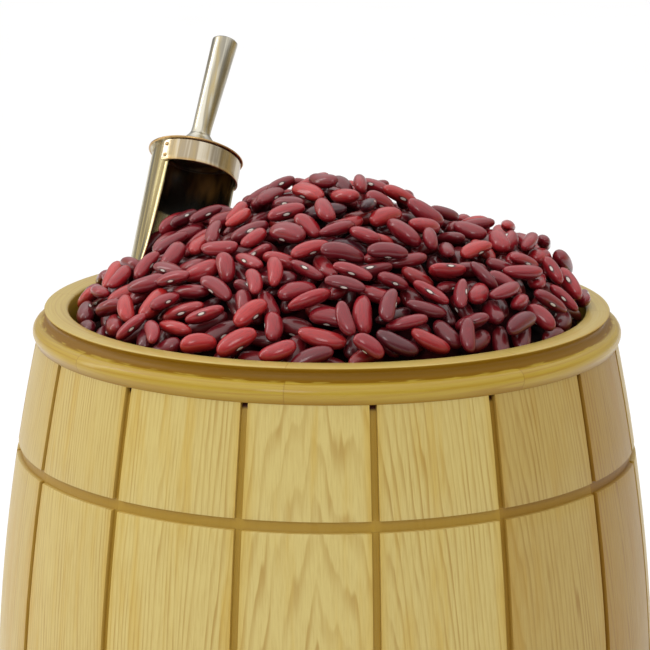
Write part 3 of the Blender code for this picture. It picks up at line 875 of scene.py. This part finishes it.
def bean_skin():
    """A dried bean's thin glossy skin: dark red with streaks, and a white scar with a dark rim."""
    finish, tones, shader = new_finish("bean_skin")
    reds = (
        (0.0, colour(46, 12, 26)),
        (0.04, colour(114, 13, 28)),
        (0.5, colour(148, 20, 33)),
        (0.85, colour(168, 26, 34)),
        (1.0, colour(190, 38, 32)),
    )
    dark_streak, rosy, deep_shade = colour(84, 12, 26), colour(164, 44, 46), colour(36, 5, 10)
    scar_rim, scar_white, scar_slit = colour(48, 10, 16), colour(226, 218, 208), colour(150, 120, 110)
    place = tones.stored("on_bean", "Vector")
    tint = tones.stored("tint")
    own_start = tones.node("CombineXYZ", {}, {0: tint * 9, 1: tint * 5})
    shifted = tones.node("VectorMath", {"operation": "ADD"}, {0: place, 1: own_start})
    streak = shifted.stretched(1.0, 5, 5).noise(1.6, 3, 0.6)
    mottle = shifted.noise(3.2, 2)
    skin = tones.node("ValToRGB", {"stops": reds}, {0: tint})
    skin = (streak.between(0.42, 0.72) * 0.45).blend(skin, dark_streak)
    skin = (mottle.between(0.55, 0.8) * 0.35).blend(skin, rosy)
    # Painted shade: beans deep in the heap and the lower sides of every bean are darkened towards deep_shade.
    skin = (tones.stored("shade") * 0.65).blend(skin, deep_shade)
    side, along, up = place.axis("Y"), place.axis("X"), place.axis("Z")
    scar = (along * along * 22 + up * up * 26) ** 0.5
    hollow = 1 - side.between(-0.45, -0.1)
    halo = (1 - scar.between(0.9, 1.7)) * hollow
    white = (1 - scar.between(0.62, 0.86)) * hollow
    slit = 1 - tones.sum("ABSOLUTE", up).between(0.008, 0.03)
    skin = (halo * 0.85).blend(skin, scar_rim)
    skin = white.blend(skin, scar_white)
    skin = (slit * white * 0.45).blend(skin, scar_slit)
    wrinkle = shifted.stretched(0.7, 2.6, 2.6).noise(3.4, 4, 0.65)
    height = wrinkle * 0.8 + white * 0.5
    bump = tones.node("Bump", {}, {"Strength": 0.35, "Distance": 0.4 * MM, "Height": height})
    rough = 0.34 + mottle * 0.14 + white * 0.25
    links = {"Base Color": skin, "Roughness": rough, "Normal": bump}
    set_surface(tones, shader, links, Coat_Weight=0.7, Coat_Roughness=0.12, Specular_IOR_Level=0.3)
    return finish


def bean_mesh(kind, long, wide, thick, bend):
    """One bean lying along X, its hollow side towards -Y, from a sphere of a few dozen faces."""
    bm = bmesh.new()
    bmesh.ops.create_uvsphere(bm, u_segments=8, v_segments=7, radius=1)
    bmesh.ops.rotate(bm, verts=bm.verts, cent=(0, 0, 0), matrix=Matrix.Rotation(math.pi / 2, 3, "Y"))
    half = Vector((BEAN_LENGTH * long, BEAN_WIDTH * wide, BEAN_THICKNESS * thick)) / 2
    for vert in bm.verts:
        x, y, z = vert.co
        blunt = (1 - abs(x) ** BEAN_BLUNTNESS) ** 0.5 / max((1 - x * x) ** 0.5, 0.05) if abs(x) < 0.999 else 1
        y, z = y * blunt, z * blunt
        hollow = max(0, -y) * math.exp(-((x / 0.42) ** 2))
        narrow = 1 - 0.1 * max(0, -y)
        arch = 0.17 * bend * (0.45 - x * x)
        y = y * (1 - 0.13 * bend * hollow) + arch
        taper = 1 - BEAN_TAPER * x
        vert.co = (x * half.x, y * half.y * taper, z * half.z * narrow * taper)
    mesh = bpy.data.meshes.new("bean_" + kind)
    on_bean = [(v.co.x / half.x, v.co.y / half.y, v.co.z / half.z) for v in bm.verts]
    bm.to_mesh(mesh)
    bm.free()
    mesh.shade_smooth()
    mark(mesh, "on_bean", "FLOAT_VECTOR", "POINT", on_bean)
    return mesh


def mound(x, y):
    """How much the beans are banked up by the scoop and against the rim."""
    return sum(
        rise * np.exp(-(((x - right) ** 2 + (y - back) ** 2) / reach**2))
        for right, back, reach, rise in MOUNDS
    )


def filled_level(x, y):
    """The height that the beans are piled to, a little less near the rim on the left."""
    near_rim = np.where(x < 0, np.maximum(0, np.hypot(x, y) - 78 * MM) / (32 * MM), 0)
    level = heap_level(x, y) + mound(x, y) - 2.5 * MM * near_rim
    for right, reach, depth in HOLLOWS:
        level = level - depth * np.exp(-(((x - right) / reach) ** 2))
    return level


def bed_level(x, y):
    """The top of the beans that never show, deeper below the slope than below the crown."""
    share = np.minimum(np.hypot(x, y) / BED_SHOULDER, 1)
    return heap_level(x, y) + mound(x, y) - BED_DEPTH_MIDDLE - (BED_DEPTH - BED_DEPTH_MIDDLE) * share


def contact_tree(mesh):
    return BVHTree.FromPolygons([v.co for v in mesh.vertices], [p.vertices for p in mesh.polygons])


def scoop_walls():
    """The scoop's own parts as they stand, for the beans to lie clear of."""
    graph = bpy.context.evaluated_depsgraph_get()
    walls = []
    for name in ("scoop_bowl", "scoop_strap", "scoop_handle"):
        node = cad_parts[name]
        mesh = bpy.data.meshes.new_from_object(node.evaluated_get(graph))
        mesh.transform(node.matrix_world)
        walls.append(contact_tree(mesh))
    return walls


Way = namedtuple("Way", "score barred place area under top")


class Heap:
    """The heap's outside as a grid of heights, which rises as beans are laid on it."""

    def __init__(self):
        steps = np.arange(-MAP_HALF, MAP_HALF + 1) * CELL
        self.x, self.y = np.meshgrid(steps, steps, indexing="ij")
        self.radius = np.hypot(self.x, self.y)
        self.level = filled_level(self.x, self.y)
        self.height = bed_level(self.x, self.y)
        self.height[self.radius > RIM_INNER_RADIUS - BED_GAP] = BARREL_HEIGHT
        self.open = self.radius < RIM_INNER_RADIUS - HALF_BEAN * CELL
        self.reach = RIM_INNER_RADIUS + np.where(self.x > 60 * MM, 2, 1) * RIM_OVERLAP
        near = np.arange(-WINDOW, WINDOW + 1) * CELL
        self.u, self.v = np.meshgrid(near, near, indexing="ij")

    def window(self, i, j):
        return slice(i - WINDOW, i + WINDOW + 1), slice(j - WINDOW, j + WINDOW + 1)

    def lowest_spot(self):
        """Where the heap, smoothed over a bean's width, lacks the most, and how much it lacks there."""
        lack = np.cumsum(np.cumsum(self.level - self.height, 0), 1)
        side, wide = HALF_BEAN, 2 * HALF_BEAN
        total = lack[wide:, wide:] - lack[:-wide, wide:] - lack[wide:, :-wide] + lack[:-wide, :-wide]
        mean = np.full_like(lack, -1)
        mean[side:-side, side:-side] = total / wide**2
        mean[~self.open] = -1
        best = int(np.argmax(mean))
        return *divmod(best, mean.shape[1]), mean.flat[best]

    def slope(self, heights, across):
        """The slope of the heap under a bean, by least squares."""
        u, v = self.u[across], self.v[across]
        above = heights[across] - heights[across].mean()
        uu, uv, vv = (u * u).sum(), (u * v).sum(), (v * v).sum()
        ua, va = (u * above).sum(), (v * above).sum()
        flat = uu * vv - uv * uv
        slope = np.array([(ua * vv - va * uv) / flat, (va * uu - ua * uv) / flat])
        return slope * min(1, STEEPEST / max(np.hypot(*slope), 0.001))

    def way_to_lay(self, i, j, half, turn, roll):
        """Lets a bean straight down on to the heap, tipped as the slope is: where and how well it lies."""
        area = self.window(i, j)
        heights = self.height[area]
        along = Vector((math.cos(turn), math.sin(turn)))
        ahead = (self.u * along.x + self.v * along.y) / half.x
        aside = (self.v * along.x - self.u * along.y) / half.y
        slope = self.slope(heights, ahead**2 + aside**2 < 1)
        forwards = Vector((along.x, along.y, along.x * slope[0] + along.y * slope[1])).normalized()
        upwards = Vector((-slope[0], -slope[1], 1)).normalized()
        sideways = upwards.cross(forwards)
        lying = Matrix((forwards, sideways, upwards)).transposed() @ Matrix.Rotation(roll, 3, "X")
        share = Matrix.Diagonal([1 / (ROOM_AROUND * size) ** 2 for size in half])
        form = lying @ share @ lying.transposed()
        middle = form[0][2] * self.u + form[1][2] * self.v
        rest = form[0][0] * self.u**2 + 2 * form[0][1] * self.u * self.v + form[1][1] * self.v**2 - 1
        inside = middle**2 - form[2][2] * rest
        under = inside > 0
        root = np.sqrt(inside[under])
        low, high = (-middle[under] - root) / form[2][2], (-middle[under] + root) / form[2][2]
        z = (heights[under] - low).max()
        proud = (z + high - self.level[area][under]).max() - STAND_PROUD
        outside = (self.radius[area][under] > self.reach[area][under]).any()
        gap = (z + low - heights[under]).mean()
        score = z - self.level[i, j] + GAP_COUNTS * gap
        place = Matrix.Translation((self.x[i, j], self.y[i, j], z)) @ lying.to_4x4()
        return Way(score, proud > 0 or outside, place, area, under, z + high)

    def ways_to_lay(self, spot, half, draw):
        """Several ways to lay a bean near a spot, the one that lies best first."""
        ways = []
        for _ in range(WAYS_TRIED):
            i = spot[0] + draw.randint(-HALF_BEAN, HALF_BEAN)
            j = spot[1] + draw.randint(-HALF_BEAN, HALF_BEAN)
            angle = math.atan2(self.x[i, j], -self.y[i, j])
            turn = angle + draw.gauss(0, TURN_SPREAD) + math.pi * draw.randint(0, 1)
            way = self.way_to_lay(i, j, half, turn, draw.gauss(0, ROLL_SPREAD))
            if not way.barred:
                ways.append(way)
        return sorted(ways, key=lambda way: way.score)

    def raise_by(self, way):
        heights = self.height[way.area]
        heights[way.under] = np.maximum(heights[way.under], way.top)

    def close(self, i, j):
        self.open[i - 1 : i + 2, j - 1 : j + 2] = False


def pile_beans(kinds, draw):
    """Lays beans one by one where the heap is lowest, until it is filled and clear of the scoop."""
    heap = Heap()
    walls = scoop_walls()
    laid = []
    i, j, lack = heap.lowest_spot()
    while lack > FILLED:
        kind = draw.randrange(len(kinds))
        size = draw.uniform(*BEAN_SIZES)
        _, long, wide, thick, _ = BEAN_KINDS[kind]
        half = Vector((BEAN_LENGTH * long, BEAN_WIDTH * wide, BEAN_THICKNESS * thick)) * (size / 2)
        for way in heap.ways_to_lay((i, j), half, draw):
            mesh = kinds[kind].copy()
            mesh.transform(way.place @ Matrix.Scale(size, 4))
            tree = contact_tree(mesh)
            if not any(tree.overlap(wall) for wall in walls):
                heap.raise_by(way)
                laid.append((mesh, kind, way.place.translation))
                break
            bpy.data.meshes.remove(mesh)
        else:
            heap.close(i, j)
        i, j, lack = heap.lowest_spot()
    return laid


def mark_bean(mesh, spot, tint):
    """Stores a bean's own tint, and how much painted shade it gets: deep in the heap or on its lower side."""
    sunk = min(max((heap_level(spot.x, spot.y) - spot.z - 5 * MM) / (8 * MM), 0), 1)
    shade = [min(1, sunk + 0.8 * max(0, 0.3 - v.normal.z)) for v in mesh.vertices]
    mark(mesh, "tint", "FLOAT", "POINT", [tint] * len(mesh.vertices))
    mark(mesh, "shade", "FLOAT", "POINT", shade)


def join_beans(name, beans, finish):
    """Makes one piece of all the beans of a kind, and rounds them."""
    with bpy.context.temp_override(object=beans[0], active_object=beans[0], selected_editable_objects=beans):
        bpy.ops.object.join()
    piece = beans[0]
    piece.data.materials.clear()
    piece.data.materials.append(finish)
    rounding = piece.modifiers.new("rounding", "SUBSURF")
    rounding.levels = rounding.render_levels = 1
    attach(piece, "root")
    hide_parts("beans")


def make_beans(finish):
    draw = random.Random(HEAP_SEED)
    laid = pile_beans([bean_mesh(*kind) for kind in BEAN_KINDS], draw)
    for index, (name, *_) in enumerate(BEAN_KINDS):
        same = []
        for mesh, kind, spot in laid:
            if kind == index:
                mark_bean(mesh, spot, draw.random())
                same.append(bpy.data.objects.new("beans_" + name, mesh))
                bpy.context.scene.collection.objects.link(same[-1])
        join_beans(name, same, finish)


def shaded_bed():
    """The beans deeper down, which only show between the loose ones: a ground painted dark red-black as
    shade, darkest between its lumps.
    """
    finish, tones, shader = new_finish("beans_in_shade")
    place = tones.node("TexCoord", output="Object")
    lumps = place.node("TexVoronoi", {"feature": "F1"}, {"Vector": place, "Scale": 95.0})
    # Painted shade: the bed's red is dark, and darker still where its lumps meet.
    tone = lumps.between(0.2, 0.75).blend(colour(60, 12, 16), colour(16, 4, 6))
    bump = tones.node("Bump", {"invert": True}, {"Strength": 1.0, "Distance": 4 * MM, "Height": lumps})
    set_surface(tones, shader, {"Base Color": tone, "Normal": bump}, Roughness=0.6, Specular_IOR_Level=0.05)
    return finish


def make_bed(finish):
    """The heap's inner body: a turned shape whose top follows the bed."""
    reach = RIM_INNER_RADIUS - 2 * BED_GAP
    foot = BOARD_THICKNESS + BED_GAP
    above = BARREL_HEIGHT + CROWN_HEIGHT
    rings = [reach * i / BED_RINGS for i in range(BED_RINGS, -1, -1)]
    bm = turned([(0, foot), (reach, foot), *((radius, above) for radius in rings)], BED_STEPS)
    for vert in bm.verts:
        if vert.co.z > BARREL_HEIGHT:
            vert.co.z = bed_level(vert.co.x, vert.co.y) - BED_SINK
    finished("beans_below", bm, finish, slot="bean_skin")


make_bed(shaded_bed())
make_beans(bean_skin())

# Floor and light
# A plain white floor in a white room, which is lit mostly from its ceiling. A soft lamp in front on the
# left and a tall strip at the left side give the varnish and the beans their highlights.

FLOOR_HALF = 12
HEAP_MIDDLE = (0, 0, 0.42)
SCOOP_MIDDLE = (-0.05, 0.05, 0.5)


def make_floor():
    bm = bmesh.new()
    bmesh.ops.create_grid(bm, x_segments=2, y_segments=2, size=FLOOR_HALF)
    finish, tones, shader = new_finish("white_floor")
    place = tones.node("TexCoord", output="Object")
    tone = place.noise(3, 2).blend(colour(250, 250, 252), colour(246, 246, 248))
    set_surface(tones, shader, {"Base Color": tone}, Roughness=0.7)
    finished("floor", bm, finish)


def add_lamp(name, spot, target, size, power):
    lamp = bpy.data.lights.new(name, "AREA")
    lamp.shape = "RECTANGLE"
    lamp.size, lamp.size_y = size
    lamp.energy = power
    holder = bpy.data.objects.new(name, lamp)
    bpy.context.scene.collection.objects.link(holder)
    holder.location = spot
    holder.rotation_euler = (Vector(target) - Vector(spot)).to_track_quat("-Z", "Y").to_euler()


def make_room():
    """A white room whose light comes mostly from its ceiling, and fades towards the horizon."""
    room = bpy.data.worlds.new("room")
    room.use_nodes = True
    tones = Tone(room.node_tree)
    outwards = tones.node("TexCoord", output="Generated")
    height = outwards.axis("Z")
    light = (0.08 + height.between(0.2, 0.75) * 1.3) * (1 - outwards.axis("X") * 0.2)
    low = 1 - height.between(0.25, 0.5)
    beside = tones.sum("ABSOLUTE", outwards.axis("X")).between(0.66, 0.86) * low
    behind = outwards.axis("Y").between(0.1, 0.6) * low
    light = light + beside * 0.4 + behind * 0.35
    background = room.node_tree.nodes["Background"]
    tone = beside.blend((1, 0.995, 0.985, 1), (1, 0.85, 0.55, 1))
    room.node_tree.links.new(tone.socket, background.inputs["Color"])
    room.node_tree.links.new(light.socket, background.inputs["Strength"])
    bpy.context.scene.world = room


make_floor()
make_room()
add_lamp("key", (-0.45, -1.6, 1.3), HEAP_MIDDLE, (0.6, 0.6), 5)
add_lamp("left_strip", (-1.3, 0.2, 1.0), SCOOP_MIDDLE, (0.25, 1.2), 4)
bpy.context.scene.view_settings.view_transform = "Standard"
bpy.context.scene.view_settings.look = "None"

# Camera
# It stands in front, a little above the rim, and looks slightly down at the barrel's upper part and
# the heap.

eye = bpy.data.cameras.new("eye")
eye.lens = 124.63
eye.sensor_width = 36
eye.clip_end = 50
viewer = bpy.data.objects.new("eye", eye)
bpy.context.scene.collection.objects.link(viewer)
viewer.location = (-0.84 * MM, -941.5 * MM, BARREL_HEIGHT + 199.2 * MM)
viewer.rotation_euler = (math.radians(77.473), math.radians(-0.25), math.radians(0.055))
bpy.context.scene.camera = viewer
